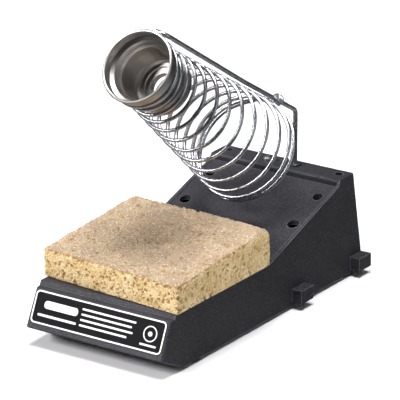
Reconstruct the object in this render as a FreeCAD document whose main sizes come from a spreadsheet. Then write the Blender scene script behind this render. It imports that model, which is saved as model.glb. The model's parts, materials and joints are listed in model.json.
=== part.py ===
import FreeCAD, Part
import math
import os

import Sketcher
from FreeCAD import Placement, Rotation, Vector

# A bench stand for a soldering iron: a moulded wedge-shaped base with a sponge
# over a water well, and a conical wire holder that swivels on a vertical rod.
# Sizes are in millimetres.  Sketches use the stand's own layout: X across from
# the middle plane, Y back from the panel's lower edge, Z up from the bench.
# Every sub-part's Placement then moves that layout to the model's frame, whose
# origin is the middle of the bounding box on the bench.

DIMENSIONS = {
    # model frame: where its origin lies in the layout
    "frame_x": 2.6,
    "frame_y": 99.3,
    # base moulding, side outline
    "base_width": 90.0,
    "base_depth": 198.6,
    "wall_bottom": 2.0,
    "side_lean": 1.8,
    "block_top": 64.0,
    "chin_back": 17.0,
    "panel_low": 10.5,
    "panel_back": 9.1,
    "panel_high": 30.5,
    "ledge_back": 12.4,
    "rim_front": 13.6,
    "rim_level": 33.3,
    "rim_back": 104.5,
    "deck_back": 173.5,
    "deck_high": 56.5,
    "shelf_front": 175.1,
    "shelf_level": 60.0,
    "shelf_back": 190.1,
    "wall_thickness": 2.5,
    "cavity_half": 41.5,
    "deck_recess": 1.0,
    "deck_half": 41.9,
    # well under the sponge
    "well_half": 36.5,
    "well_front": 22.5,
    "well_back": 98.0,
    "well_floor": 16.5,
    "tub_wall": 2.0,
    # holes that hold spare tips
    "tip_front_radius": 3.5,
    "tip_rear_radius": 3.0,
    "tip_hole_across": 36.0,
    "tip_front_row": 138.5,
    "tip_rear_row": 163.5,
    "shelf_hole_radius": 2.5,
    "shelf_hole_across": 37.1,
    "shelf_hole_line": 183.9,
    "shelf_line": 182.5,
    # hooks on the right wall
    "lug_reach": 6.0,
    "lug_depth": 12.4,
    "lug_low": 3.8,
    "lug_high": 11.5,
    "lug_front": 124.4,
    "lug_rear": 184.6,
    "peg_depth": 3.0,
    "peg_drop": 1.8,
    # ballast plate, its screws and the feet
    "plate_half": 41.0,
    "plate_front": 25.5,
    "plate_back": 194.5,
    "plate_thickness": 3.0,
    "post_radius": 3.6,
    "post_across": 26.0,
    "post_front": 40.0,
    "post_rear": 168.0,
    "pilot_radius": 1.3,
    "pilot_length": 9.0,
    "screw_hole_radius": 1.75,
    "screw_radius": 1.28,
    "screw_length": 10.0,
    "screw_head_radius": 2.9,
    "screw_head_height": 1.4,
    "foot_radius": 7.0,
    "foot_across": 37.5,
    "foot_front": 33.5,
    "foot_rear": 184.0,
    "foot_peg_radius": 2.0,
    # label on the panel
    "label_half": 42.2,
    "label_low": 3.6,
    "label_high": 21.2,
    "label_thickness": 0.5,
    "label_corner": 2.5,
    # sponge
    "sponge_half": 45.8,
    "sponge_front_left": 19.3,
    "sponge_front_right": 12.6,
    "sponge_back_left": 102.4,
    "sponge_back_right": 100.6,
    "sponge_low": 33.6,
    "sponge_top_front": 48.9,
    "sponge_top_back": 55.0,
    "sponge_round": 2.0,
    # holder: the cone's axis runs back and down from the mouth
    "mouth_back": 41.7,
    "mouth_height": 153.9,
    "axis_fall": 36.1,
    "wire_radius": 1.1,
    "coil_start": 8.1,
    "coil_end": 131.2,
    "grip_end": 14.7,
    "grip_rise": 1.6,
    "coil_radius_front": 17.6,
    "coil_radius_back": 29.9,
    "close_pitch": 2.5,
    "open_pitch": 12.5,
    "last_pitch": 3.8,
    "coil_turns": 14.0,
    # support rod and its bush in the shelf
    "rod_radius": 1.3,
    "rod_across": 8.6,
    "rod_foot": 46.0,
    "rod_bend_height": 92.6,
    "bar_along": 3.15,
    "bar_rise": 20.55,
    "rod_end_across": 1.8,
    "knee_back": 132.0,
    "knee_height": 122.1,
    "rod_bend_radius": 4.0,
    "bush_radius": 2.6,
    "bush_collar_radius": 3.4,
    "bush_collar_height": 1.4,
    "bush_foot": 43.5,
    "bush_bore_radius": 1.35,
    "knot_back": 163.2,
    "knot_gap": 0.08,
    "knot_turns": 1.6,
    # clamp plate under the shelf
    "clamp_thickness": 1.2,
    "clamp_left": 14.5,
    "clamp_right": 13.5,
    "clamp_half_depth": 3.6,
    "clamp_screw_across": 10.1,
    "clamp_screw_radius": 1.2,
    "clamp_screw_hole": 1.35,
    "clamp_head_radius": 2.4,
    "clamp_head_height": 1.5,
    "clamp_screw_length": 9.0,
    "clamp_nut_width": 5.0,
    "clamp_nut_height": 2.0,
    "clamp_washer_radius": 3.0,
    "clamp_washer_thickness": 0.5,
    "key_slot_across": 4.0,
    "key_slot_line": 184.6,
    "key_slot_size": 3.2,
    "key_tab_size": 2.6,
    "key_tab_height": 1.2,
    # funnel at the mouth, radii from the cone's axis
    "rim_radius": 20.9,
    "band_radius": 20.1,
    "band_end": 6.3,
    "seat_radius": 18.0,
    "seat_end": 9.2,
    "neck_radius": 16.45,
    "neck_start": 12.2,
    "neck_end": 31.0,
    "sheet": 0.7,
    "seat_depth": 5.9,
    "bead_radius": 0.9,
    "bead_depth": 0.5,
    "step_radius": 16.4,
    "step_depth": 8.0,
    "lip_radius": 14.9,
    "lip_depth": 11.0,
    "wall_radius": 14.6,
    "wall_depth": 24.5,
    "floor_radius": 12.6,
    "floor_depth": 27.6,
    "ring_radius": 10.6,
    "ring_depth": 27.9,
    "throat_radius": 7.3,
    "throat_start": 29.0,
    "throat_end": 33.0,
}

doc = FreeCAD.newDocument("soldering_iron_stand")
sheet = doc.addObject("Spreadsheet::Sheet", "dims")
for row, (alias, number) in enumerate(DIMENSIONS.items(), start=1):
    sheet.set(f"A{row}", alias)
    sheet.set(f"B{row}", str(number))
    sheet.setAlias(f"B{row}", alias)
doc.recompute()

SUBPARTS = []


def dim(alias):
    """Read one driving dimension from the sheet."""
    return float(sheet.get(alias))


def value(formula):
    """Work out a formula written in the sheet's aliases."""
    return float(sheet.evalExpression(bind(formula)))


def bind(formula):
    """Write a formula of bare aliases as an expression on the sheet."""
    words = []
    for word in formula.replace("(", "( ").replace(")", " )").split():
        words.append(f"dims.{word}" if word in DIMENSIONS else word)
    return " ".join(words)


def to_frame(thing):
    """Bind a sub-part's position to the model frame's origin."""
    thing.setExpression("Placement.Base.x", bind("-1 * frame_x"))
    thing.setExpression("Placement.Base.y", bind("-1 * frame_y"))
    SUBPARTS.append(thing)


def new_body(label):
    """Start a sub-part made of PartDesign features."""
    body = doc.addObject("PartDesign::Body", label)
    body.Label = label
    to_frame(body)
    return body


def new_sketch(body, name, role, offset="0"):
    """Add a sketch on one of the body's own origin planes, lifted by offset."""
    sketch = body.newObject("Sketcher::SketchObject", name)
    plane = next(f for f in body.Origin.OriginFeatures if f.Role == role)
    sketch.AttachmentSupport = [(plane, "")]
    sketch.MapMode = "FlatFace"
    sketch.setExpression("AttachmentOffset.Base.z", bind(offset))
    return sketch


def pin_point(sketch, edge, end, across, up):
    """Hold one vertex at the place that two formulas give."""
    for kind, formula in (("DistanceX", across), ("DistanceY", up)):
        number = value(formula)
        index = sketch.addConstraint(Sketcher.Constraint(kind, -1, 1, edge, end, number))
        sketch.setExpression(f"Constraints[{index}]", bind(formula))


def draw_outline(sketch, corners):
    """Draw a closed outline through corners given as pairs of formulas."""
    points = [Vector(value(across), value(up), 0) for across, up in corners]
    first = sketch.GeometryCount
    count = len(points)
    for i in range(count):
        sketch.addGeometry(Part.LineSegment(points[i], points[(i + 1) % count]), False)
    for i in range(count):
        following = first + (i + 1) % count
        sketch.addConstraint(Sketcher.Constraint("Coincident", first + i, 2, following, 1))
    for i, (across, up) in enumerate(corners):
        pin_point(sketch, first + i, 1, across, up)


def draw_circle(sketch, across, up, radius):
    """Draw a circle whose centre and radius are formulas."""
    centre = Vector(value(across), value(up), 0)
    edge = sketch.addGeometry(Part.Circle(centre, Vector(0, 0, 1), value(radius)), False)
    pin_point(sketch, edge, 3, across, up)
    index = sketch.addConstraint(Sketcher.Constraint("Radius", edge, value(radius)))
    sketch.setExpression(f"Constraints[{index}]", bind(radius))


def box_corners(left, right, front, back):
    """Corners of a rectangle."""
    return [(left, front), (right, front), (right, back), (left, back)]


def extrude(body, kind, sketch, length, symmetric=False, reverse=False):
    """Pad or pocket a sketch and check that it changed the body."""
    before = body.Shape.Volume if body.Tip else 0.0
    feature = body.newObject(kind, f"{sketch.Name}_solid")
    feature.Profile = sketch
    feature.setExpression("Length", bind(length))
    feature.Midplane = symmetric
    feature.Reversed = reverse
    doc.recompute()
    assert abs(body.Shape.Volume - before) > 1e-3, f"{sketch.Name} changed nothing"
    return feature


def pad(body, sketch, length, **options):
    """Add material."""
    return extrude(body, "PartDesign::Pad", sketch, length, **options)


def pocket(body, sketch, length, **options):
    """Take material away."""
    before = body.Shape.Volume
    feature = extrude(body, "PartDesign::Pocket", sketch, length, **options)
    assert body.Shape.Volume < before, f"{sketch.Name} cut nothing"
    return feature


def revolve(body, sketch):
    """Turn a profile drawn in the XZ plane once round the body's Z axis."""
    feature = body.newObject("PartDesign::Revolution", f"{sketch.Name}_solid")
    feature.Profile = sketch
    feature.ReferenceAxis = (sketch, ["V_Axis"])
    feature.Angle = 360.0
    doc.recompute()
    return feature


def fillet(body, edges, radius):
    """Round the named edges of the body's last feature."""
    tip = body.Tip
    feature = body.newObject("PartDesign::Fillet", f"{body.Name}_round_{len(body.Group)}")
    feature.Base = (tip, edges)
    feature.setExpression("Radius", bind(radius) if radius in DIMENSIONS else radius)
    doc.recompute()
    assert feature.Shape.isValid(), f"{feature.Name} is not valid"
    return feature


def edges_where(body, test):
    """Names of the edges of the body's last feature that pass a test."""
    found = []
    for i, edge in enumerate(body.Tip.Shape.Edges, start=1):
        if test(edge):
            found.append(f"Edge{i}")
    return found


# ---------------------------------------------------------------- base moulding

def deck_height(back):
    """Formula for the height of the sloping deck at a place along Y."""
    slope = "( deck_high - rim_level ) / ( deck_back - rim_back )"
    return f"rim_level + ( {back} - rim_back ) * {slope}"


def outer_outline():
    """Side outline of the moulding, from the chin round to the rear wall."""
    return [
        ("chin_back", "wall_bottom"),
        ("0", "panel_low"),
        ("panel_back", "panel_high"),
        ("ledge_back", "panel_high + 0.3"),
        ("rim_front", "rim_level"),
        ("rim_back", "rim_level"),
        ("deck_back", "deck_high"),
        ("shelf_front", "shelf_level - 0.2"),
        ("shelf_back", "shelf_level"),
        ("base_depth", "wall_bottom"),
    ]


def inner_outline():
    """Side outline of the hollow inside the moulding, open at the bottom."""
    return [
        ("chin_back + 5.6", "wall_bottom - 1"),
        ("chin_back + 5.6", "wall_bottom"),
        ("3.3", "panel_low + 1.2"),
        ("panel_back + 1.6", "panel_high - wall_thickness"),
        ("rim_front + wall_thickness", "panel_high - wall_thickness"),
        ("rim_front + wall_thickness", "rim_level - wall_thickness"),
        ("rim_back + 3.5", "rim_level - wall_thickness"),
        ("deck_back - 1.5", "deck_high - 4.2"),
        ("shelf_front + wall_thickness", "deck_high - 2.5"),
        ("shelf_front + wall_thickness", "shelf_level - wall_thickness"),
        ("shelf_back - 2.2", "shelf_level - wall_thickness"),
        ("base_depth - wall_thickness", "wall_bottom"),
        ("base_depth - wall_thickness", "wall_bottom - 1"),
    ]


def make_base_shell():
    """The one-piece moulding: panel, lip, well, deck, shelf, hooks and posts."""
    body = new_body("base_shell")

    outline = new_sketch(body, "base_outline", "YZ_Plane")
    draw_outline(outline, outer_outline())
    pad(body, outline, "base_width", symmetric=True)

    lean = new_sketch(body, "side_lean_cut", "XZ_Plane")
    for side in ("1", "-1"):
        draw_outline(lean, [
            (f"{side} * base_width / 2", "wall_bottom"),
            (f"{side} * ( base_width / 2 + 2 )", "wall_bottom"),
            (f"{side} * ( base_width / 2 + 2 )", "block_top"),
            (f"{side} * ( base_width / 2 - side_lean )", "block_top"),
        ])
    pocket(body, lean, "base_depth * 2 + 20", symmetric=True)

    # round the outside before it is hollowed
    depth = dim("base_depth")

    def corner_of_panel(edge):
        middle = edge.CenterOfMass
        upright = abs(edge.Vertexes[0].Z - edge.Vertexes[-1].Z) > 5
        return upright and abs(middle.x) > 40 and (middle.y < 12 or middle.y > depth - 12)

    fillet(body, edges_where(body, corner_of_panel), "1.6")

    def panel_edge(edge):
        middle = edge.CenterOfMass
        across = edge.Length > 60
        on_panel = abs(middle.z - dim("panel_low")) < 0.4 and middle.y < 2
        on_ledge = abs(middle.z - dim("panel_high")) < 0.2 and middle.y < 10
        on_rim = abs(middle.z - dim("rim_level")) < 0.2 and middle.y < 20
        on_shelf = abs(middle.z - dim("shelf_level")) < 0.3
        return across and (on_panel or on_ledge or on_rim or on_shelf)

    fillet(body, edges_where(body, panel_edge), "0.7")

    hollow = new_sketch(body, "base_hollow", "YZ_Plane")
    draw_outline(hollow, inner_outline())
    pocket(body, hollow, "cavity_half * 2", symmetric=True)

    tub = new_sketch(body, "well_tub", "XY_Plane", "well_floor - tub_wall")
    draw_outline(tub, box_corners(
        "-1 * ( well_half + tub_wall )", "well_half + tub_wall",
        "well_front - tub_wall", "well_back + tub_wall"))
    pad(body, tub, "rim_level - well_floor")

    well = new_sketch(body, "well_cut", "XY_Plane", "rim_level + 5")
    draw_outline(well, box_corners("-1 * well_half", "well_half", "well_front", "well_back"))
    pocket(body, well, "rim_level + 5 - well_floor")

    recess = new_sketch(body, "deck_recess_cut", "YZ_Plane")
    draw_outline(recess, [
        ("rim_back + 1", deck_height("rim_back + 1") + " - deck_recess"),
        ("rim_back + 1", deck_height("rim_back + 1") + " + 3"),
        ("shelf_front - 0.6", deck_height("shelf_front - 0.6") + " + 3"),
        ("shelf_front - 0.6", deck_height("shelf_front - 0.6") + " - deck_recess"),
    ])
    pocket(body, recess, "deck_half * 2", symmetric=True)

    holes = new_sketch(body, "tip_holes", "XY_Plane", "block_top")
    for side in ("1", "-1"):
        for row in ("front", "rear"):
            draw_circle(holes, f"{side} * tip_hole_across", f"tip_{row}_row", f"tip_{row}_radius")
        draw_circle(holes, f"{side} * shelf_hole_across", "shelf_hole_line", "shelf_hole_radius")
    draw_circle(holes, "rod_across", "shelf_line", "bush_radius")
    draw_circle(holes, "-1 * clamp_screw_across", "shelf_line", "clamp_screw_hole")
    draw_outline(holes, box_corners(
        "-1 * key_slot_across - key_slot_size / 2", "-1 * key_slot_across + key_slot_size / 2",
        "key_slot_line - key_slot_size / 2", "key_slot_line + key_slot_size / 2"))
    pocket(body, holes, "block_top - rim_level")

    for name, back, level in (("front", "post_front", "well_floor - tub_wall"),
                              ("rear", "post_rear", "deck_high - 4.5")):
        posts = new_sketch(body, f"posts_{name}", "XY_Plane", "wall_bottom + plate_thickness")
        for side in ("1", "-1"):
            draw_circle(posts, f"{side} * post_across", back, "post_radius")
        pad(body, posts, f"{level} - wall_bottom - plate_thickness")
    pilots = new_sketch(body, "pilot_holes", "XY_Plane", "wall_bottom + plate_thickness")
    for side in ("1", "-1"):
        for back in ("post_front", "post_rear"):
            draw_circle(pilots, f"{side} * post_across", back, "pilot_radius")
    pocket(body, pilots, "pilot_length", reverse=True)

    hooks = new_sketch(body, "hooks", "XY_Plane", "lug_low")
    pegs = new_sketch(body, "hook_pegs", "XY_Plane", "lug_low - peg_drop")
    for front in ("lug_front", "lug_rear"):
        draw_outline(hooks, box_corners(
            "cavity_half + 1", "base_width / 2 + lug_reach", front, f"{front} + lug_depth"))
        draw_outline(pegs, box_corners(
            "base_width / 2 + lug_reach - 3", "base_width / 2 + lug_reach",
            front, f"{front} + peg_depth"))
    pad(body, hooks, "lug_high - lug_low")
    pad(body, pegs, "peg_drop + 0.5")
    return body


# ---------------------------------------------------- parts fixed to the base

def make_label_plate():
    """Thin plate stuck on the leaning panel."""
    body = new_body("label_plate")
    lean = math.degrees(math.atan2(
        dim("panel_back"), dim("panel_high") - dim("panel_low")))
    sketch = new_sketch(body, "label_outline", "XZ_Plane")
    draw_outline(sketch, box_corners("-1 * label_half", "label_half", "label_low", "label_high"))
    pad(body, sketch, "label_thickness")
    corners = edges_where(body, lambda e: abs(e.Length - dim("label_thickness")) < 1e-6)
    fillet(body, corners, "label_corner")
    body.Placement = Placement(Vector(0, 0, 0), Rotation(Vector(1, 0, 0), -lean))
    body.setExpression("Placement.Base.z", bind("panel_low"))
    return body


def make_ballast_plate():
    """Steel plate that closes the bottom and gives the stand its weight."""
    body = new_body("ballast_plate")
    sketch = new_sketch(body, "ballast_outline", "XY_Plane", "wall_bottom")
    draw_outline(sketch, box_corners("-1 * plate_half", "plate_half", "plate_front", "plate_back"))
    for side in ("1", "-1"):
        for back in ("post_front", "post_rear"):
            draw_circle(sketch, f"{side} * post_across", back, "screw_hole_radius")
        for back in ("foot_front", "foot_rear"):
            draw_circle(sketch, f"{side} * foot_across", back, "foot_peg_radius")
    pad(body, sketch, "plate_thickness")
    return body


def make_ballast_screws():
    """Four pan-head screws, up through the plate into the posts."""
    screws = []
    head = dim("screw_head_height")
    level = dim("wall_bottom")
    for side in (1, -1):
        for back in ("post_front", "post_rear"):
            place = Vector(side * dim("post_across"), dim(back), level)
            below = place - Vector(0, 0, head)
            cap = Part.makeCone(dim("screw_head_radius") * 0.72, dim("screw_head_radius"), head, below)
            shank = Part.makeCylinder(dim("screw_radius"), dim("screw_length"), place)
            slot = Part.makeBox(0.7, 4 * head, 0.6, below - Vector(0.35, 2 * head, 0))
            cross = Part.makeBox(4 * head, 0.7, 0.6, below - Vector(2 * head, 0.35, 0))
            screws.append(cap.fuse(shank).cut(slot).cut(cross).removeSplitter())
    thing = doc.addObject("Part::Feature", "ballast_screws")
    thing.Label = "ballast_screws"
    thing.Shape = Part.makeCompound([solid for screw in screws for solid in screw.Solids])
    to_frame(thing)
    return thing


def make_foot(label, side, back):
    """Rubber foot with a peg that is pushed into the ballast plate."""
    body = new_body(label)
    sketch = new_sketch(body, f"{label}_profile", "XZ_Plane")
    draw_outline(sketch, [
        ("0", "0"),
        ("foot_radius - 0.5", "0"),
        ("foot_radius", "0.5"),
        ("foot_radius", "wall_bottom"),
        ("foot_peg_radius", "wall_bottom"),
        ("foot_peg_radius", "wall_bottom + plate_thickness + 0.6"),
        ("0", "wall_bottom + plate_thickness + 0.6"),
    ])
    revolve(body, sketch)
    body.setExpression("Placement.Base.x", bind(f"{side} * foot_across - frame_x"))
    body.setExpression("Placement.Base.y", bind(f"{back} - frame_y"))
    return body


def make_rod_bush():
    """Blind plastic bush in the shelf that the rod's leg turns in."""
    body = new_body("rod_bush")
    sketch = new_sketch(body, "bush_profile", "XZ_Plane")
    draw_outline(sketch, [
        ("0", "bush_foot"),
        ("bush_radius", "bush_foot"),
        ("bush_radius", "shelf_level"),
        ("bush_collar_radius", "shelf_level"),
        ("bush_collar_radius", "shelf_level + bush_collar_height - 0.6"),
        ("bush_collar_radius - 0.6", "shelf_level + bush_collar_height"),
        ("bush_bore_radius", "shelf_level + bush_collar_height"),
        ("bush_bore_radius", "rod_foot"),
        ("0", "rod_foot"),
    ])
    revolve(body, sketch)
    body.setExpression("Placement.Base.x", bind("rod_across - frame_x"))
    body.setExpression("Placement.Base.y", bind("shelf_line - frame_y"))
    return body


def make_clamp_plate():
    """Steel strip under the shelf that holds the bush and keys into the slot."""
    body = new_body("clamp_plate")
    base = "shelf_level - wall_thickness - clamp_thickness"
    strip = new_sketch(body, "clamp_outline", "XY_Plane", base)
    draw_outline(strip, box_corners(
        "-1 * clamp_left", "clamp_right",
        "shelf_line - clamp_half_depth", "shelf_line + clamp_half_depth"))
    draw_circle(strip, "rod_across", "shelf_line", "bush_radius")
    draw_circle(strip, "-1 * clamp_screw_across", "shelf_line", "clamp_screw_hole")
    pad(body, strip, "clamp_thickness")
    tab = new_sketch(body, "clamp_tab", "XY_Plane", "shelf_level - wall_thickness - 0.2")
    draw_outline(tab, box_corners(
        "-1 * key_slot_across - key_tab_size / 2", "-1 * key_slot_across + key_tab_size / 2",
        "key_slot_line - key_tab_size / 2", "key_slot_line + key_tab_size / 2"))
    pad(body, tab, "key_tab_height + 0.2")
    return body


def make_clamp_screw():
    """Small pan-head screw through the shelf and the clamp plate."""
    body = new_body("clamp_screw")
    sketch = new_sketch(body, "clamp_screw_profile", "XZ_Plane")
    draw_outline(sketch, [
        ("0", "shelf_level - clamp_screw_length"),
        ("clamp_screw_radius", "shelf_level - clamp_screw_length"),
        ("clamp_screw_radius", "shelf_level"),
        ("clamp_head_radius", "shelf_level"),
        ("clamp_head_radius", "shelf_level + clamp_head_height * 0.5"),
        ("clamp_head_radius - 0.6", "shelf_level + clamp_head_height"),
        ("0", "shelf_level + clamp_head_height"),
    ])
    revolve(body, sketch)
    drive = new_sketch(body, "clamp_screw_drive", "XY_Plane", "shelf_level + clamp_head_height")
    draw_circle(drive, "0", "0", "clamp_head_radius * 0.4")
    pocket(body, drive, "clamp_head_height * 0.6")
    body.setExpression("Placement.Base.x", bind("-1 * clamp_screw_across - frame_x"))
    body.setExpression("Placement.Base.y", bind("shelf_line - frame_y"))
    return body


def make_clamp_washer():
    """Washer between the clamp plate and the nut."""
    ring = doc.addObject("Part::Cylinder", "washer_disc")
    bore = doc.addObject("Part::Cylinder", "washer_bore")
    ring.setExpression("Radius", bind("clamp_washer_radius"))
    bore.setExpression("Radius", bind("clamp_screw_hole"))
    for disc in (ring, bore):
        disc.setExpression("Height", bind("clamp_washer_thickness"))
    washer = doc.addObject("Part::Cut", "clamp_washer")
    washer.Label = "clamp_washer"
    washer.Base = ring
    washer.Tool = bore
    to_frame(washer)
    low = "shelf_level - wall_thickness - clamp_thickness - clamp_washer_thickness"
    washer.setExpression("Placement.Base.x", bind("-1 * clamp_screw_across - frame_x"))
    washer.setExpression("Placement.Base.y", bind("shelf_line - frame_y"))
    washer.setExpression("Placement.Base.z", bind(low))
    return washer


def make_clamp_nut():
    """Hexagonal nut on the clamp screw."""
    hexagon = doc.addObject("Part::Prism", "nut_hexagon")
    hexagon.Polygon = 6
    hexagon.setExpression("Circumradius", bind("clamp_nut_width / 1.7320508"))
    bore = doc.addObject("Part::Cylinder", "nut_bore")
    bore.setExpression("Radius", bind("clamp_screw_radius + 0.02"))
    for block in (hexagon, bore):
        block.setExpression("Height", bind("clamp_nut_height"))
    nut = doc.addObject("Part::Cut", "clamp_nut")
    nut.Label = "clamp_nut"
    nut.Base = hexagon
    nut.Tool = bore
    to_frame(nut)
    low = "shelf_level - wall_thickness - clamp_thickness - clamp_washer_thickness - clamp_nut_height"
    nut.setExpression("Placement.Base.x", bind("-1 * clamp_screw_across - frame_x"))
    nut.setExpression("Placement.Base.y", bind("shelf_line - frame_y"))
    nut.setExpression("Placement.Base.z", bind(low))
    return nut


# ------------------------------------------------------------------- sponge

def make_sponge():
    """Cut block of sponge, deeper at the back, lying on the rim over the well."""
    body = new_body("sponge")
    plan = new_sketch(body, "sponge_plan", "XY_Plane", "sponge_low")
    draw_outline(plan, [
        ("-1 * sponge_half", "sponge_front_left"),
        ("sponge_half", "sponge_front_right"),
        ("sponge_half", "sponge_back_right"),
        ("-1 * sponge_half", "sponge_back_left"),
    ])
    pad(body, plan, "sponge_top_back + 2 - sponge_low")
    top = new_sketch(body, "sponge_top_cut", "YZ_Plane")
    draw_outline(top, [
        ("sponge_front_right - 4", "sponge_top_front"),
        ("sponge_back_left + 4", "sponge_top_back"),
        ("sponge_back_left + 4", "sponge_top_back + 9"),
        ("sponge_front_right - 4", "sponge_top_back + 9"),
    ])
    pocket(body, top, "sponge_half * 2 + 4", symmetric=True)
    upper = edges_where(body, lambda e: e.CenterOfMass.z > dim("sponge_top_front") - 2)
    fillet(body, upper, "sponge_round")
    return body


# ------------------------------------------------------------------- holder

def holder_point(along, radius, turn):
    """Point at a distance along the cone's axis, a radius out and an angle round.

    The angle is zero straight above the axis and grows towards +X.
    """
    fall = math.radians(dim("axis_fall"))
    up = Vector(0, math.sin(fall), math.cos(fall))
    run = Vector(0, math.cos(fall), -math.sin(fall))
    mouth = Vector(0, dim("mouth_back"), dim("mouth_height"))
    return mouth + run * along + up * (radius * math.cos(turn)) + Vector(radius * math.sin(turn), 0, 0)


def lay_on_axis(body):
    """Turn a body whose Z axis is the cone's axis into its place."""
    body.Placement = Placement(
        Vector(0, 0, 0), Rotation(Vector(1, 0, 0), -90.0 - dim("axis_fall")))
    body.setExpression("Placement.Base.x", bind("-1 * frame_x"))
    body.setExpression("Placement.Base.y", bind("mouth_back - frame_y"))
    body.setExpression("Placement.Base.z", bind("mouth_height"))


def make_funnel_cup():
    """Spun cup: rolled rim, wide band, shoulder and the neck the coil grips."""
    body = new_body("funnel_cup")
    # the rolled rim, from inside the band over the front to outside it
    bead_from, bead_to, bead_steps = 228, -84, 13
    bead = []
    for i in range(bead_steps + 1):
        turn = math.radians(bead_from + (bead_to - bead_from) * i / bead_steps)
        bead.append((
            f"rim_radius - bead_radius + bead_radius * {math.cos(turn):.4f}",
            f"bead_depth - bead_radius * {math.sin(turn):.4f}"))
    sketch = new_sketch(body, "cup_profile", "XZ_Plane")
    draw_outline(sketch, bead + [
        ("band_radius - 0.1", "band_end"),
        ("seat_radius", "band_end + 1.0"),
        ("seat_radius", "seat_end"),
        ("neck_radius", "neck_start"),
        ("neck_radius", "neck_end"),
        ("neck_radius - sheet", "neck_end"),
        ("neck_radius - sheet", "neck_start + 0.2"),
        ("seat_radius - sheet", "seat_end + 0.2"),
        ("seat_radius - sheet", "seat_depth + 1.0"),
        ("band_radius - sheet - 0.2", "seat_depth + 0.1"),
    ])
    revolve(body, sketch)
    lay_on_axis(body)
    return body


def make_funnel_insert():
    """Deep cup seated on the shoulder; the iron rests in the throat in its floor."""
    body = new_body("funnel_insert")
    inside = [
        ("band_radius - sheet - 0.35", "seat_depth - 0.6"),
        ("step_radius + 0.8", "step_depth - 1.4"),
        ("step_radius", "step_depth"),
        ("( step_radius + lip_radius ) / 2 + 0.1", "( step_depth + lip_depth ) / 2 + 0.2"),
        ("lip_radius", "lip_depth"),
        ("wall_radius", "wall_depth"),
        ("wall_radius - 0.7", "wall_depth + 2.1"),
        ("floor_radius", "floor_depth"),
        ("ring_radius", "ring_depth"),
        ("ring_radius - 0.4", "ring_depth + 0.7"),
        ("throat_radius", "throat_start"),
        ("throat_radius", "throat_end"),
    ]
    outside = [
        ("throat_radius + sheet", "throat_end"),
        ("throat_radius + sheet", "throat_start + 0.6"),
        ("ring_radius + 0.1", "ring_depth + 1.5"),
        ("ring_radius + 0.5", "ring_depth + 0.75"),
        ("floor_radius + 0.3", "floor_depth + 0.75"),
        ("wall_radius", "wall_depth + 2.6"),
        ("wall_radius + sheet", "wall_depth + 0.1"),
        ("lip_radius + sheet", "lip_depth + 0.3"),
        ("( step_radius + lip_radius ) / 2 + 0.75", "( step_depth + lip_depth ) / 2 + 0.5"),
        ("seat_radius - sheet - 0.15", "step_depth + 0.3"),
        ("seat_radius - sheet - 0.15", "seat_depth + 1.05"),
        ("band_radius - sheet - 0.35", "seat_depth"),
    ]
    sketch = new_sketch(body, "insert_profile", "XZ_Plane")
    draw_outline(sketch, inside + outside)
    revolve(body, sketch)
    lay_on_axis(body)
    return body


def sweep_wire(label, path, radius, always_curved):
    """Sweep a round section along a path, which may be curved all the way."""
    start = path.Edges[0]
    place = start.valueAt(start.FirstParameter)
    heading = start.tangentAt(start.FirstParameter)
    section = Part.Wire([Part.makeCircle(radius, place, heading)])
    solid = path.makePipeShell([section], True, always_curved)
    thing = doc.addObject("Part::Feature", label)
    thing.Label = label
    thing.Shape = solid
    to_frame(thing)
    return thing


def rounded_path(corners, radius):
    """Straight runs through the corners, joined by tangent arcs."""
    edges = []
    here = corners[0]
    for before, corner, after in zip(corners, corners[1:], corners[2:]):
        back = (before - corner).normalize()
        ahead = (after - corner).normalize()
        half = back.getAngle(ahead) / 2
        reach = radius / math.tan(half)
        start = corner + back * reach
        end = corner + ahead * reach
        bisector = (back + ahead).normalize()
        middle = corner + bisector * (radius / math.sin(half) - radius)
        edges.append(Part.LineSegment(here, start).toShape())
        edges.append(Part.Arc(start, middle, end).toShape())
        here = end
    edges.append(Part.LineSegment(here, corners[-1]).toShape())
    return Part.Wire(edges)


def rod_corners():
    """Corners of the support rod: foot, shoulder, knee, front corner and free end."""
    across = dim("rod_across")
    foot = Vector(across, dim("shelf_line"), dim("rod_foot"))
    shoulder = Vector(across, dim("shelf_line"), dim("rod_bend_height"))
    knee = Vector(across, dim("knee_back"), dim("knee_height"))
    # the cross bar climbs over the band, to rest on its top at the free end
    top_gap = 0.1
    top_rise = dim("band_radius") + dim("rod_radius") + top_gap
    corner = holder_point(dim("bar_along"), dim("bar_rise"), 0)
    end = holder_point(dim("bar_along"), top_rise, 0)
    front = Vector(across, corner.y, corner.z)
    free = Vector(dim("rod_end_across"), end.y, end.z)
    return [foot, shoulder, knee, front, free]


def make_support_rod():
    """One bent wire: leg in the bush, long arm, cross bar on the funnel's band."""
    path = rounded_path(rod_corners(), dim("rod_bend_radius"))
    return sweep_wire("support_rod", path, dim("rod_radius"), False)


def smooth_step(low, high, at):
    """Rise from 0 to 1 between two places, level at both ends."""
    share = min(max((at - low) / (high - low), 0.0), 1.0)
    return share * share * (3 - 2 * share)


def coil_places(steps_per_turn):
    """Distance along the axis at even steps of turn, close at both ends."""
    turns = dim("coil_turns")
    count = int(round(turns * steps_per_turn))
    advance = []
    for i in range(count):
        at = (i + 0.5) / steps_per_turn
        opening = smooth_step(-0.2, 7.3, at)
        closing = smooth_step(turns - 2.8, turns - 1.0, at)
        pitch = dim("close_pitch") + (dim("open_pitch") - dim("close_pitch")) * opening
        pitch += (dim("last_pitch") - pitch) * closing
        advance.append(pitch / steps_per_turn)
    # stretch the whole coil a little so that it ends where it should
    stretch = (dim("coil_end") - dim("coil_start")) / sum(advance)
    places = [dim("coil_start")]
    for step in advance:
        places.append(places[-1] + step * stretch)
    return places


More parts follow.
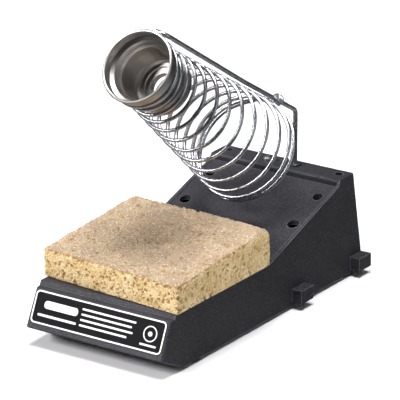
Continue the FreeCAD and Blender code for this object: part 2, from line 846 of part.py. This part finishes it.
def coil_points():
    """Centre line of the conical coil, ending in a knot round the support rod."""
    steps_per_turn = 12
    places = coil_places(steps_per_turn)
    span = dim("coil_end") - dim("grip_end")
    flare = (dim("coil_radius_back") - dim("coil_radius_front")) / span
    last_turn = math.radians(-17)
    points = []
    for i, along in enumerate(places):
        left = (len(places) - 1 - i) / steps_per_turn
        # the first turns grip the funnel and step down with it, the rest flare out
        on_seat = 1 - smooth_step(dim("seat_end"), dim("neck_start") + 0.8, along)
        radius = dim("coil_radius_front") + dim("grip_rise") * on_seat
        radius += flare * max(along - dim("grip_end"), 0.0)
        points.append(holder_point(along, radius, last_turn - 2 * math.pi * left))

    # the knot: the last turn runs on over the rod from the left and winds round it
    corners = rod_corners()
    forward = (corners[2] - corners[1]).normalize()
    side = Vector(1, 0, 0)
    over = side.cross(forward)
    if over.z < 0:
        over = over * -1
    reach = (corners[1].y - dim("knot_back")) / -forward.y
    centre = corners[1] + forward * reach
    round_rod = dim("rod_radius") + dim("wire_radius") + dim("knot_gap")
    pitch = 2 * dim("wire_radius") + 0.25
    knot_steps = int(round(dim("knot_turns") * steps_per_turn))
    for i in range(knot_steps + 1):
        turned = 2 * math.pi * i / steps_per_turn
        around = last_turn + turned
        along = centre + forward * (pitch * (turned / (2 * math.pi) - dim("knot_turns") / 2))
        offset = over * math.cos(around) + side * math.sin(around)
        points.append(along + offset * round_rod)
    return points


def make_coil_spring():
    """Conical coil of wire that guards the hot end of the iron."""
    curve = Part.BSplineCurve()
    curve.interpolate(coil_points())
    path = Part.Wire([curve.toShape()])
    return sweep_wire("coil_spring", path, dim("wire_radius"), True)


# ------------------------------------------------------------- build and write

make_base_shell()
make_label_plate()
make_ballast_plate()
make_ballast_screws()
for depth_name in ("front", "rear"):
    make_foot(f"foot_{depth_name}_left", "-1", f"foot_{depth_name}")
    make_foot(f"foot_{depth_name}_right", "1", f"foot_{depth_name}")
make_rod_bush()
make_clamp_plate()
make_clamp_screw()
make_clamp_washer()
make_clamp_nut()
make_sponge()
make_funnel_cup()
make_funnel_insert()
make_support_rod()
make_coil_spring()
doc.recompute()

for thing in doc.Objects:
    assert "Invalid" not in thing.State and "Error" not in thing.State, f"{thing.Name} failed"

os.makedirs("parts", exist_ok=True)
whole = FreeCAD.BoundBox()
for thing in SUBPARTS:
    shape = thing.Shape
    assert not shape.isNull() and shape.isValid(), f"{thing.Label} is not valid"
    assert shape.Volume > 0, f"{thing.Label} has no volume"
    shape.exportStep(f"parts/{thing.Label}.step")
    whole.add(shape.BoundBox)
    print(f"{thing.Label:20s} {len(shape.Solids)} solid(s) {shape.Volume:10.1f} mm3")
print("whole:", whole)
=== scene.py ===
import json
import math
import random

import bmesh
import bpy
import numpy as np
from mathutils import Matrix, Vector, kdtree, noise


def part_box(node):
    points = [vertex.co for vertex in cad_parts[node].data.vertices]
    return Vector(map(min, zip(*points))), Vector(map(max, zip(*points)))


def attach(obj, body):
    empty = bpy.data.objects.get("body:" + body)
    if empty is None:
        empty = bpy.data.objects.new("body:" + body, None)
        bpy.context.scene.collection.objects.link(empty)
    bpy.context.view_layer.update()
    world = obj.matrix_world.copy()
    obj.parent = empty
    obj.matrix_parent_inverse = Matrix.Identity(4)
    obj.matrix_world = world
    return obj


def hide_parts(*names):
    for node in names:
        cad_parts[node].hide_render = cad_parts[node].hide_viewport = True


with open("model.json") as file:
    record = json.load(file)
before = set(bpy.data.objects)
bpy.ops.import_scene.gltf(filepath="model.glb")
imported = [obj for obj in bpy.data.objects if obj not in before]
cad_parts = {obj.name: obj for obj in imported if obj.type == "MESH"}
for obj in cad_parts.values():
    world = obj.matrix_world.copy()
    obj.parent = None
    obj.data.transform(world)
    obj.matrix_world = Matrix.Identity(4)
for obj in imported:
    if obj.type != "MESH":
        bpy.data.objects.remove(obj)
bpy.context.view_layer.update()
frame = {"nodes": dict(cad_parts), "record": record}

MM = 0.001


# ------------------------------------------------------------------- node tools

class Graph:
    """Short names for adding and joining the nodes of one material."""

    def __init__(self, name):
        self.material = bpy.data.materials.new(name)
        self.material.use_nodes = True
        self.tree = self.material.node_tree
        self.shader = self.tree.nodes["Principled BSDF"]
        self.place = self.add("ShaderNodeTexCoord").outputs["Object"]

    def add(self, kind, **settings):
        node = self.tree.nodes.new(kind)
        for key, setting in settings.items():
            setattr(node, key, setting)
        return node

    def join(self, source, target):
        self.tree.links.new(source, target)

    def feed(self, node, socket, thing):
        """Give a socket a plain value, or join it to another socket."""
        if isinstance(thing, bpy.types.NodeSocket):
            self.join(thing, node.inputs[socket])
        else:
            node.inputs[socket].default_value = thing

    def noise(self, per_mm, detail=3.0, roughness=0.5, place=None):
        """Fractal noise, given as features per millimetre."""
        node = self.add("ShaderNodeTexNoise")
        self.join(place or self.place, node.inputs["Vector"])
        self.feed(node, "Scale", per_mm * 1000.0)
        self.feed(node, "Detail", detail)
        self.feed(node, "Roughness", roughness)
        return node.outputs["Fac"]

    def cells(self, per_mm, feature="F1"):
        """Cellular noise: the distance to the nearest cell centre."""
        node = self.add("ShaderNodeTexVoronoi", feature=feature)
        self.join(self.place, node.inputs["Vector"])
        self.feed(node, "Scale", per_mm * 1000.0)
        return node.outputs["Distance"]

    def stretched(self, x, y, z):
        """The object's own coordinates scaled unevenly, for grain with a direction."""
        node = self.add("ShaderNodeMapping")
        self.join(self.place, node.inputs["Vector"])
        node.inputs["Scale"].default_value = (x, y, z)
        return node.outputs["Vector"]

    def math(self, operation, first, second=0.0, clamp=False):
        node = self.add("ShaderNodeMath", operation=operation, use_clamp=clamp)
        self.feed(node, 0, first)
        self.feed(node, 1, second)
        return node.outputs[0]

    def ramp(self, source, low, high, out_low=0.0, out_high=1.0):
        """Turn a span of one value into a span of another, clamped."""
        node = self.add("ShaderNodeMapRange")
        self.feed(node, "Value", source)
        self.feed(node, "From Min", low)
        self.feed(node, "From Max", high)
        self.feed(node, "To Min", out_low)
        self.feed(node, "To Max", out_high)
        return node.outputs["Result"]

    def mix(self, share, first, second):
        """Blend two colours."""
        node = self.add("ShaderNodeMix", data_type="RGBA")
        self.feed(node, "Factor", share)
        # the node has one pair of inputs per data type; these are the colours
        for socket, colour in ((6, first), (7, second)):
            if isinstance(colour, bpy.types.NodeSocket):
                self.join(colour, node.inputs[socket])
            else:
                node.inputs[socket].default_value = (*colour, 1.0)
        return node.outputs[2]

    def edges(self, width_mm):
        """One near sharp edges and zero on open faces, from the rounded normal."""
        open_face, full_edge = 0.97, 0.75
        bevel = self.add("ShaderNodeBevel", samples=8)
        self.feed(bevel, "Radius", width_mm * MM)
        flat = self.add("ShaderNodeNewGeometry").outputs["Normal"]
        node = self.add("ShaderNodeVectorMath", operation="DOT_PRODUCT")
        self.join(bevel.outputs["Normal"], node.inputs[0])
        self.join(flat, node.inputs[1])
        return self.ramp(node.outputs["Value"], open_face, full_edge)

    def bump(self, height, strength, depth_mm):
        """Bump from a height value; depth is its full swing."""
        node = self.add("ShaderNodeBump")
        self.feed(node, "Strength", strength)
        self.feed(node, "Distance", depth_mm * MM)
        self.join(height, node.inputs["Height"])
        self.join(node.outputs["Normal"], self.shader.inputs["Normal"])

    def set(self, **sockets):
        """Set the shader's sockets; underscores in names stand for spaces."""
        for name, thing in sockets.items():
            title = name.replace("_", " ").title().replace("Ior", "IOR")
            if isinstance(thing, tuple):
                thing = (*thing, 1.0)
            self.feed(self.shader, title, thing)


# -------------------------------------------------------------------- materials

def moulded_plastic():
    """Charcoal moulding: fine spark texture, faint clouding, edges painted paler as a painted
    highlight.
    """
    g = Graph("moulding")
    cloud = g.noise(0.03, 4.0)
    speck = g.noise(1.5, 2.0)
    body = g.mix(g.ramp(cloud, 0.35, 0.65), (0.020, 0.020, 0.023), (0.028, 0.028, 0.032))
    body = g.mix(g.ramp(speck, 0.52, 0.66, 0.0, 0.8), body, (0.070, 0.069, 0.080))
    # painted highlight: sharp edges painted paler, broken up by noise
    edge_highlight = g.math("MULTIPLY", g.edges(0.6), g.ramp(g.noise(0.25), 0.3, 0.6, 0.5, 1.0))
    g.set(base_color=g.mix(edge_highlight, body, (0.26, 0.26, 0.30)))
    g.set(roughness=g.ramp(g.noise(0.5, 4.0), 0.3, 0.7, 0.42, 0.56))
    g.set(specular_ior_level=0.22)
    g.bump(g.math("ADD", g.cells(1.3), g.noise(2.0, 2.0)), 0.6, 0.12)
    return g.material


def label_black():
    """Smooth black plate with a faint orange-peel gloss."""
    g = Graph("label")
    tone = g.ramp(g.noise(0.1, 5.0), 0.3, 0.7)
    g.set(base_color=g.mix(tone, (0.0015, 0.0015, 0.002), (0.004, 0.004, 0.005)))
    g.set(roughness=g.ramp(g.noise(0.8, 4.0), 0.3, 0.7, 0.30, 0.40))
    g.set(specular_ior_level=0.05)
    g.bump(g.noise(0.7, 2.0), 0.15, 0.02)
    return g.material


def label_white():
    """White screen print, slightly thin in places."""
    g = Graph("label_print")
    thin = g.ramp(g.noise(1.5, 4.0), 0.62, 0.8, 0.0, 0.35)
    g.set(base_color=g.mix(thin, (0.86, 0.86, 0.85), (0.45, 0.45, 0.46)))
    g.set(roughness=g.ramp(g.noise(2.0, 3.0), 0.3, 0.7, 0.4, 0.55))
    g.bump(g.noise(3.0, 2.0), 0.1, 0.01)
    return g.material


def powder_coat():
    """Black powder coat on the steel plate underneath."""
    g = Graph("ballast_steel")
    tone = g.ramp(g.noise(0.06, 4.0), 0.3, 0.7)
    body = g.mix(tone, (0.018, 0.018, 0.019), (0.030, 0.030, 0.032))
    # painted highlight: the plate's sharp edges painted paler
    g.set(base_color=g.mix(g.edges(0.5), body, (0.20, 0.20, 0.21)))
    g.set(roughness=g.ramp(g.noise(0.8, 4.0), 0.3, 0.7, 0.38, 0.55))
    g.bump(g.noise(1.2, 3.0), 0.5, 0.12)
    return g.material


def zinc_steel():
    """Zinc-plated screws, washer, nut and strip."""
    g = Graph("screw_steel")
    tone = g.ramp(g.noise(0.8, 5.0), 0.3, 0.7)
    g.set(base_color=g.mix(tone, (0.55, 0.55, 0.56), (0.74, 0.74, 0.73)))
    g.set(metallic=1.0)
    g.set(roughness=g.ramp(g.noise(2.5, 4.0), 0.3, 0.7, 0.22, 0.42))
    g.bump(g.noise(3.5, 3.0), 0.2, 0.03)
    return g.material


def foot_rubber():
    """Matt black rubber with dust in its surface."""
    g = Graph("foot_rubber")
    dust = g.ramp(g.noise(0.6, 5.0), 0.55, 0.8, 0.0, 0.5)
    g.set(base_color=g.mix(dust, (0.016, 0.016, 0.016), (0.09, 0.088, 0.082)))
    g.set(roughness=g.ramp(g.noise(1.5, 3.0), 0.3, 0.7, 0.75, 0.9))
    g.bump(g.noise(2.5, 3.0), 0.4, 0.08)
    return g.material


def bush_nylon():
    """Smooth black nylon with faint turning lines."""
    g = Graph("bush_plastic")
    lines = g.noise(1.0, 2.0, place=g.stretched(0.2, 0.2, 6.0))
    g.set(base_color=g.mix(lines, (0.018, 0.018, 0.020), (0.034, 0.034, 0.038)))
    g.set(roughness=g.ramp(g.noise(1.0, 3.0), 0.3, 0.7, 0.35, 0.5))
    g.bump(lines, 0.2, 0.04)
    return g.material


def turned_steel(name, tint_low, tint_high):
    """Spun stainless: fine lines round the cone's axis, a little heat tint."""
    g = Graph(name)
    # distance along the cone's axis and out from it, from the object's coordinates
    split = g.add("ShaderNodeSeparateXYZ")
    g.join(g.place, split.inputs[0])
    along = g.math(
        "ADD", g.math("MULTIPLY", split.outputs["Y"], math.cos(AXIS_FALL)),
        g.math("MULTIPLY", split.outputs["Z"], -math.sin(AXIS_FALL)))
    square = g.math(
        "ADD", g.math("MULTIPLY", split.outputs["Y"], math.sin(AXIS_FALL)),
        g.math("MULTIPLY", split.outputs["Z"], math.cos(AXIS_FALL)))
    square = g.math("SUBTRACT", square, AXIS_OFFSET)
    across = g.math("SUBTRACT", split.outputs["X"], AXIS_ACROSS)
    far = g.math("SQRT", g.math(
        "ADD", g.math("MULTIPLY", across, across), g.math("MULTIPLY", square, square)))
    lines_place = g.add("ShaderNodeCombineXYZ")
    g.join(along, lines_place.inputs["X"])
    g.join(far, lines_place.inputs["Y"])
    fine = g.noise(3.2, 3.0, 0.7, place=lines_place.outputs[0])
    broad = g.noise(0.35, 2.0, place=lines_place.outputs[0])
    smudge = g.noise(0.12, 4.0)
    tone = g.math("ADD", g.math("MULTIPLY", fine, 0.5), g.math("MULTIPLY", broad, 0.5))
    body = g.mix(g.ramp(tone, 0.35, 0.65), tint_low, tint_high)
    g.set(base_color=g.mix(g.ramp(smudge, 0.55, 0.8, 0.0, 0.35), body, (0.40, 0.36, 0.33)))
    g.set(metallic=1.0)
    g.set(roughness=g.ramp(g.math("ADD", fine, smudge), 0.7, 1.3, 0.30, 0.44))
    g.set(anisotropic=0.3)
    g.bump(fine, 0.25, 0.02)
    return g.material


def bright_wire():
    """Bright nickel plate with faint drawing marks and dull spots."""
    g = Graph("wire")
    tone = g.ramp(g.noise(0.25, 4.0), 0.3, 0.7)
    body = g.mix(tone, (0.46, 0.47, 0.50), (0.60, 0.61, 0.64))
    dull = g.ramp(g.noise(0.9, 5.0), 0.62, 0.8, 0.0, 0.4)
    g.set(base_color=g.mix(dull, body, (0.45, 0.45, 0.47)))
    g.set(metallic=1.0)
    g.set(roughness=g.ramp(g.noise(1.8, 4.0), 0.3, 0.7, 0.20, 0.32))
    g.bump(g.noise(2.5, 3.0), 0.12, 0.02)
    return g.material


def dry_sponge():
    """Dry cellulose: tan top painted darker than the sides as painted shade, yellower sides,
    and painted shade deepening to brown inside the pores.
    """
    g = Graph("sponge")
    pore_shade = g.add("ShaderNodeAttribute", attribute_name="pore_shade").outputs["Fac"]
    upward = g.add("ShaderNodeAttribute", attribute_name="shaded_top").outputs["Fac"]
    mottle = g.noise(0.09, 5.0, 0.6)
    grain = g.noise(0.9, 4.0, 0.65)
    patch = g.noise(1.3, 2.0)
    side = g.mix(g.ramp(mottle, 0.35, 0.65), (0.60, 0.42, 0.18), (0.74, 0.57, 0.31))
    # painted shade: the top's colours are darker than the sides' colours
    top = g.mix(g.ramp(mottle, 0.35, 0.65), (0.35, 0.265, 0.185), (0.48, 0.365, 0.235))
    body = g.mix(upward, side, top)
    body = g.mix(g.ramp(grain, 0.56, 0.70, 0.0, 0.45), body, (0.84, 0.74, 0.52))
    body = g.mix(g.ramp(grain, 0.46, 0.32, 0.0, 0.70), body, (0.28, 0.17, 0.06))
    # painted highlight: small pale specks scattered in patches
    painted_glints = g.math("MULTIPLY", g.ramp(g.cells(0.65), 0.34, 0.20), g.ramp(patch, 0.46, 0.54))
    body = g.mix(g.math("MULTIPLY", painted_glints, 0.65), body, (0.95, 0.88, 0.72))
    # painted shade in the pits: colour darkens to deep brown with pit depth
    g.set(base_color=g.mix(g.ramp(pore_shade, 0.10, 0.7, 0.0, 0.85), body, (0.31, 0.175, 0.05)))
    g.set(roughness=g.ramp(grain, 0.3, 0.7, 0.85, 0.98))
    g.set(subsurface_weight=0.08, subsurface_scale=0.0015)
    g.set(subsurface_radius=Vector((1.0, 0.7, 0.35)))
    pits = g.math("ADD", g.cells(1.1), g.noise(1.6, 4.0, 0.7))
    g.bump(pits, 0.8, 0.5)
    return g.material


# ------------------------------------------------------ where the cone's axis is

# the axis falls towards the back at this angle and passes through the cup's middle
AXIS_FALL = math.radians(36.1)
cup_low, cup_high = (Vector(corner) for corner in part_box("funnel_cup"))
cup_middle = (cup_low + cup_high) / 2
AXIS_ACROSS = cup_middle.x
AXIS_OFFSET = cup_middle.y * math.sin(AXIS_FALL) + cup_middle.z * math.cos(AXIS_FALL)

MATERIALS = {
    "moulding": moulded_plastic(),
    "label": label_black(),
    "ballast_steel": powder_coat(),
    "screw_steel": zinc_steel(),
    "foot_rubber": foot_rubber(),
    "bush_plastic": bush_nylon(),
    "spun_steel": turned_steel("spun_steel", (0.40, 0.385, 0.365), (0.56, 0.54, 0.52)),
    "wire": bright_wire(),
    "sponge": dry_sponge(),
}
for entry in frame["record"]["subparts"]:
    slots = frame["nodes"][entry["node"]].data.materials
    slots.clear()
    slots.append(MATERIALS[entry["material_slot"]])


# ----------------------------------------------------------------------- sponge

SPONGE_SPANS = [(high - low) / MM for low, high in zip(*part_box("sponge"))]

# how far the cut block is out of square, in millimetres: its front edge runs back
# to the left, its rear edge runs forward to the right, and its top falls to the front
FRONT_SKEW = 6.7
REAR_SKEW = 1.8
TOP_FALL = 5.9

# edge rounding in millimetres, the wear added at the rear right corner, how high the
# bottom edge's rounding reaches, and the share of each side where the wear begins
EDGE_RADIUS = 0.6
CORNER_WEAR = 3.2
BASE_ROUNDING = 0.3
WEAR_START = 0.7
WEAR_SPAN = 0.3

# cells of the block's grid across, back and up
FULL_CELLS = (210, 202, 44)

# each kind of pore: how many, smallest and largest radius and depth in millimetres,
# and the share of them that sits on the edges of the top
PORE_KINDS = (
    (7000, 0.25, 0.55, 0.45, 0.06),
    (1500, 0.5, 0.9, 0.8, 0.12),
    (90, 0.9, 1.5, 1.1, 0.2))
PORE_SEED = 41
# the share of the other pores that sits on the top, the rest is on the sides
TOP_SHARE = 0.55

# a pore's ragged rim, in pore radii: how far out its points are looked for, how far
# the rim wanders, where it starts and over what width it falls to full depth
PORE_REACH = 1.5
RIM_WANDER = 0.7
RIM_START = 1.1
RIM_WIDTH = 0.45
RIM_DETAIL = 700.0

# a pore this deep gets the full painted shade, a dark brown, and pores on the top are
# shallower
FULL_SHADE_DEPTH = 0.9
TOP_PORE_SCALE = 0.75
UNDERSIDE_SCALE = 0.2

# the block stands out this far, in millimetres, above the ledge that holds it, which
# ends at this share of the block's height
OVERHANG = 0.45
LEDGE_TOP = 0.15
LEDGE_BLEND = 0.2


def new_piece(name, mesh, material):
    """Put a mesh in the scene as a piece with one material."""
    piece = bpy.data.objects.new(name, mesh)
    bpy.context.scene.collection.objects.link(piece)
    mesh.materials.append(material)
    return piece


def sponge_point(share):
    """Point of the plain block for shares across, back and up, each 0 to 1."""
    low, high = (Vector(corner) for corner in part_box("sponge"))
    across, back, up = share
    front = low.y + FRONT_SKEW * MM * (1.0 - across)
    rear = high.y - REAR_SKEW * MM * across
    y = front + (rear - front) * back
    slope = TOP_FALL * MM / (high.y - low.y)
    top = high.z - slope * (high.y - y)
    return Vector((low.x + (high.x - low.x) * across, y, low.z + (top - low.z) * up))


def wear(share):
    """How far into the worn end a share along one side is, from zero."""
    return max(0.0, (share - WEAR_START) / WEAR_SPAN)


def rounded_share(share):
    """Shares with the block's edges rounded, most at the rear right corner."""
    spans = SPONGE_SPANS
    place = Vector([share[axis] * spans[axis] for axis in range(3)])
    corner = min(1.0, wear(share[0]) * wear(share[1]))
    radius = EDGE_RADIUS + CORNER_WEAR * corner * share[2]
    core = Vector([min(max(place[a], radius), spans[a] - radius) for a in range(3)])
    # the lower half keeps its upright edges and a nearly square bottom edge
    if share[2] < 0.5:
        core.z = max(place.z, BASE_ROUNDING)
    offset = place - core
    if offset.length > radius:
        place = core + offset * (radius / offset.length)
    return [place[axis] / spans[axis] for axis in range(3)]


def block_shell(counts):
    """Closed grid over the six faces of the block, with its edges shared."""
    mesh = bmesh.new()
    made = {}

    def vertex(i, j, k):
        if (i, j, k) not in made:
            share = (i / counts[0], j / counts[1], k / counts[2])
            made[(i, j, k)] = (mesh.verts.new(sponge_point(rounded_share(share))), share)
        return made[(i, j, k)][0]

    for axis in range(3):
        first, second = [a for a in range(3) if a != axis]
        for end in (0, counts[axis]):
            for a in range(counts[first]):
                for b in range(counts[second]):
                    corners = []
                    for da, db in ((0, 0), (1, 0), (1, 1), (0, 1)):
                        place = [0, 0, 0]
                        place[axis] = end
                        place[first] = a + da
                        place[second] = b + db
                        corners.append(vertex(*place))
                    mesh.faces.new(corners)
    bmesh.ops.recalc_face_normals(mesh, faces=mesh.faces)
    mesh.normal_update()
    return mesh, [share for _, share in made.values()]


def random_places(draw, count, edge_share):
    """Points spread over the block's top and sides, some of them on the top's edges."""
    places = []
    for _ in range(count):
        share = [draw.random(), draw.random(), draw.random()]
        if draw.random() < edge_share:
            share[draw.randrange(2)] = float(draw.randrange(2))
            share[2] = 1.0
        elif draw.random() < TOP_SHARE:
            share[2] = 1.0
        else:
            share[draw.randrange(2)] = float(draw.randrange(2))
        places.append(sponge_point(share))
    return places


def pore_depths(verts):
    """Depth in millimetres of the pores at each point, with ragged pore rims."""
    tree = kdtree.KDTree(len(verts))
    for i, vert in enumerate(verts):
        tree.insert(vert.co, i)
    tree.balance()
    ragged = [noise.noise(vert.co * RIM_DETAIL) for vert in verts]
    depth = np.zeros(len(verts))
    draw = random.Random(PORE_SEED)
    for count, small, large, deep, edge_share in PORE_KINDS:
        for place in random_places(draw, count, edge_share):
            radius = draw.uniform(small, large)
            drop = deep * draw.uniform(0.6, 1.1)
            for _, index, gap in tree.find_range(place, radius * PORE_REACH * MM):
                reach = gap / (radius * MM) + RIM_WANDER * ragged[index]
                share = min(max((RIM_START - reach) / RIM_WIDTH, 0.0), 1.0)
                depth[index] = max(depth[index], drop * share * share * (3 - 2 * share))
    return depth


def surface_height(here, up):
    """Outward offset in millimetres at a point, without the pores."""
    crumb_detail, crumb_height = 0.9, 0.22
    swell_detail, swell_height = 0.06, 0.3
    crumbs = noise.fractal(here * crumb_detail, 0.7, 2.1, 4) * crumb_height
    swells = noise.noise(here * swell_detail) * swell_height
    above_ledge = min(1.0, max(0.0, (up - LEDGE_TOP) / LEDGE_BLEND))
    return crumbs + swells + OVERHANG * above_ledge


def make_sponge():
    """Cut block with open pores on every face and ragged, rounded edges."""
    mesh, shares = block_shell(FULL_CELLS)
    verts = list(mesh.verts)
    pore_shades = []
    shaded_top = []
    moves = []
    for vert, share, pit in zip(verts, shares, pore_depths(verts)):
        top = share[2] == 1.0
        underneath = share[2] == 0.0
        move = -pit * (TOP_PORE_SCALE if top else 1.0) + surface_height(vert.co / MM, share[2])
        if underneath:
            # the underside lies flat in the well, so nothing stands out from it
            move = min(move, 0.0) * UNDERSIDE_SCALE
        moves.append(vert.normal * (move * MM))
        # share of the full painted shade, from the pit's depth
        pore_shades.append(min(1.0, pit / FULL_SHADE_DEPTH))
        # one on the top face, which the material paints darker as painted shade
        shaded_top.append(1.0 if top else 0.0)
    for vert, move in zip(verts, moves):
        vert.co += move
    data = bpy.data.meshes.new("sponge_block")
    mesh.to_mesh(data)
    mesh.free()
    for name, values in (("pore_shade", pore_shades), ("shaded_top", shaded_top)):
        layer = data.attributes.new(name, "FLOAT", "POINT")
        layer.data.foreach_set("value", values)
    data.polygons.foreach_set("use_smooth", [True] * len(data.polygons))
    piece = new_piece("sponge_block", data, MATERIALS["sponge"])
    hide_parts("sponge")
    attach(piece, "sponge_block")


make_sponge()


# ------------------------------------------------------------------ label print

# the front panel runs back 9.1 for each 20 it rises
LABEL_LEAN = math.atan2(9.1, 20.0)
LABEL_THICKNESS = 0.5 * MM

# how far the print stands out of the label and reaches into it, in millimetres
PRINT_HEIGHT = 0.06
PRINT_SINK = 0.02

# single bars of the print: middle across and up, half length and half height
PLAIN_BARS = (
    (-24.6, 2.0, 11.0, 2.1),
    (-26.0, -4.0, 12.6, 0.6),
    (33.6, -5.4, 5.2, 0.5))
# the block of thin bars that start on one line, from the top one down
RULE_HALF_LENGTHS = (17.4, 16.4, 17.0, 15.4)
RULE_HALF_HEIGHT = 0.5
RULE_START = -11.2
RULE_TOP = 4.6
RULE_STEP = 2.9
# the ring: its middle, its outer and inner radius, and the dot in it
RING_MIDDLE = (33.6, 0.8)
RING_RADII = (4.3, 3.7)
DOT_RADIUS = 1.3


def label_matrix():
    """From the label's own plane, across and up in millimetres, to the model."""
    low, high = (Vector(corner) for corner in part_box("label_plate"))
    outward = Vector((0, -math.cos(LABEL_LEAN), math.sin(LABEL_LEAN)))
    upward = Vector((0, math.sin(LABEL_LEAN), math.cos(LABEL_LEAN)))
    middle = (low + high) / 2 + outward * (LABEL_THICKNESS / 2)
    matrix = Matrix.Identity(4)
    matrix.col[0].xyz = Vector((1, 0, 0)) * MM
    matrix.col[1].xyz = upward * MM
    matrix.col[2].xyz = outward * MM
    matrix.col[3].xyz = middle
    return matrix


def rounded_loop(half_x, half_y, radius, middle=(0.0, 0.0), steps=6):
    """Points round a rectangle with rounded corners."""
    points = []
    for quarter, (sx, sy) in enumerate(((1, 1), (-1, 1), (-1, -1), (1, -1))):
        for i in range(steps + 1):
            turn = math.pi / 2 * (quarter + i / steps)
            points.append((
                middle[0] + sx * (half_x - radius) + radius * math.cos(turn),
                middle[1] + sy * (half_y - radius) + radius * math.sin(turn)))
    return points


def add_plate(mesh, outer, inner=None):
    """A thin raised shape from its outline, with or without a matching hole."""
    top = [mesh.verts.new((x, y, PRINT_HEIGHT)) for x, y in outer]
    base = [mesh.verts.new((x, y, -PRINT_SINK)) for x, y in outer]
    count = len(outer)
    if inner is None:
        mesh.faces.new(top)
        mesh.faces.new(base[::-1])
    else:
        top_in = [mesh.verts.new((x, y, PRINT_HEIGHT)) for x, y in inner]
        base_in = [mesh.verts.new((x, y, -PRINT_SINK)) for x, y in inner]
    for i in range(count):
        j = (i + 1) % count
        mesh.faces.new((base[i], base[j], top[j], top[i]))
        if inner is not None:
            mesh.faces.new((top[i], top[j], top_in[j], top_in[i]))
            mesh.faces.new((top_in[i], top_in[j], base_in[j], base_in[i]))
            mesh.faces.new((base_in[i], base_in[j], base[j], base[i]))


def make_label_print():
    """White border with plain bars and a plain dotted ring: no lettering, no mark."""
    mesh = bmesh.new()
    add_plate(mesh, rounded_loop(42.4, 8.9, 2.4), rounded_loop(41.6, 8.1, 1.7))
    bars = list(PLAIN_BARS)
    for row, half_length in enumerate(RULE_HALF_LENGTHS):
        height = RULE_TOP - RULE_STEP * row
        bars.append((half_length + RULE_START, height, half_length, RULE_HALF_HEIGHT))
    for x, y, half_x, half_y in bars:
        add_plate(mesh, rounded_loop(half_x, half_y, half_y * 0.9, (x, y)))
    rim, bore = (
        rounded_loop(radius, radius, radius, RING_MIDDLE, 10) for radius in RING_RADII)
    add_plate(mesh, rim, bore)
    add_plate(mesh, rounded_loop(DOT_RADIUS, DOT_RADIUS, DOT_RADIUS, RING_MIDDLE))
    bmesh.ops.recalc_face_normals(mesh, faces=mesh.faces)
    data = bpy.data.meshes.new("label_print")
    mesh.to_mesh(data)
    mesh.free()
    data.transform(label_matrix())
    piece = new_piece("label_print", data, label_white())
    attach(piece, "base")


make_label_print()


# ------------------------------------------------------- floor, lights, camera

def make_floor():
    """Plain pale floor, level with the feet."""
    mesh = bmesh.new()
    bmesh.ops.create_grid(mesh, x_segments=1, y_segments=1, size=6.0)
    data = bpy.data.meshes.new("floor")
    mesh.to_mesh(data)
    mesh.free()
    g = Graph("floor")
    g.set(base_color=g.mix(g.noise(0.002, 2.0), (0.90, 0.90, 0.90), (0.92, 0.92, 0.92)))
    g.set(roughness=0.9)
    floor = new_piece("floor", data, g.material)
    floor.visible_glossy = False


def make_light(name, place, target, size, watts, colour=(1.0, 1.0, 1.0)):
    """Square soft light aimed at a point."""
    data = bpy.data.lights.new(name, "AREA")
    data.size = size
    data.energy = watts
    data.color = colour
    lamp = bpy.data.objects.new(name, data)
    lamp.location = place
    lamp.rotation_euler = (Vector(target) - Vector(place)).to_track_quat("-Z", "Y").to_euler()
    bpy.context.scene.collection.objects.link(lamp)


def make_sky():
    """Studio surroundings: dark all round, pale below like the floor."""
    world = bpy.data.worlds.new("studio")
    bpy.context.scene.world = world
    world.use_nodes = True
    tree = world.node_tree
    back = tree.nodes["Background"]
    place = tree.nodes.new("ShaderNodeTexCoord")
    split = tree.nodes.new("ShaderNodeSeparateXYZ")
    ramp = tree.nodes.new("ShaderNodeValToRGB")
    tree.links.new(place.outputs["Generated"], split.inputs[0])
    # the direction's height runs from -1 to 1 and the ramp wants 0 to 1
    rise = tree.nodes.new("ShaderNodeMapRange")
    rise.inputs["From Min"].default_value = -1.0
    tree.links.new(split.outputs["Z"], rise.inputs["Value"])
    tree.links.new(rise.outputs["Result"], ramp.inputs["Fac"])
    tree.links.new(ramp.outputs["Color"], back.inputs["Color"])
    # height from straight down to straight up, and how bright the studio is there
    stops = (
        (0.0, 0.55), (0.22, 0.30), (0.36, 0.04), (0.48, 0.03), (0.50, 0.12),
        (0.52, 0.03), (0.92, 0.03), (1.0, 0.10))
    elements = ramp.color_ramp.elements
    while len(elements) < len(stops):
        elements.new(0.5)
    for element, (at, level) in zip(elements, stops):
        element.position = at
        element.color = (level, level, level, 1.0)
    back.inputs["Strength"].default_value = 1.0


def make_camera():
    """Camera at the angle the object is usually shown from."""
    data = bpy.data.cameras.new("camera")
    data.lens = 305.4
    data.sensor_width = 36.0
    data.clip_end = 50.0
    camera = bpy.data.objects.new("camera", data)
    camera.location = (0.97995, -1.43656, 0.69426)
    heading = Vector((-0.5304, 0.7760, -0.3414))
    camera.rotation_euler = heading.to_track_quat("-Z", "Y").to_euler()
    bpy.context.scene.collection.objects.link(camera)
    bpy.context.scene.camera = camera


make_floor()
# each light: where it is, what it is aimed at, its size, its power and its tint
make_light("key", (-1.5, -2.1, 1.6), (0, 0, 0.08), 0.9, 90.0, (1.0, 0.98, 1.0))
make_light("top", (0.1, -0.1, 2.4), (0, 0, 0.0), 1.1, 80.0, (0.98, 0.97, 1.0))
make_light("side", (2.4, -0.2, 0.8), (0, 0, 0.08), 2.2, 11.0, (0.93, 1.0, 0.97))
make_sky()
make_camera()

bpy.context.scene.view_settings.view_transform = "Standard"
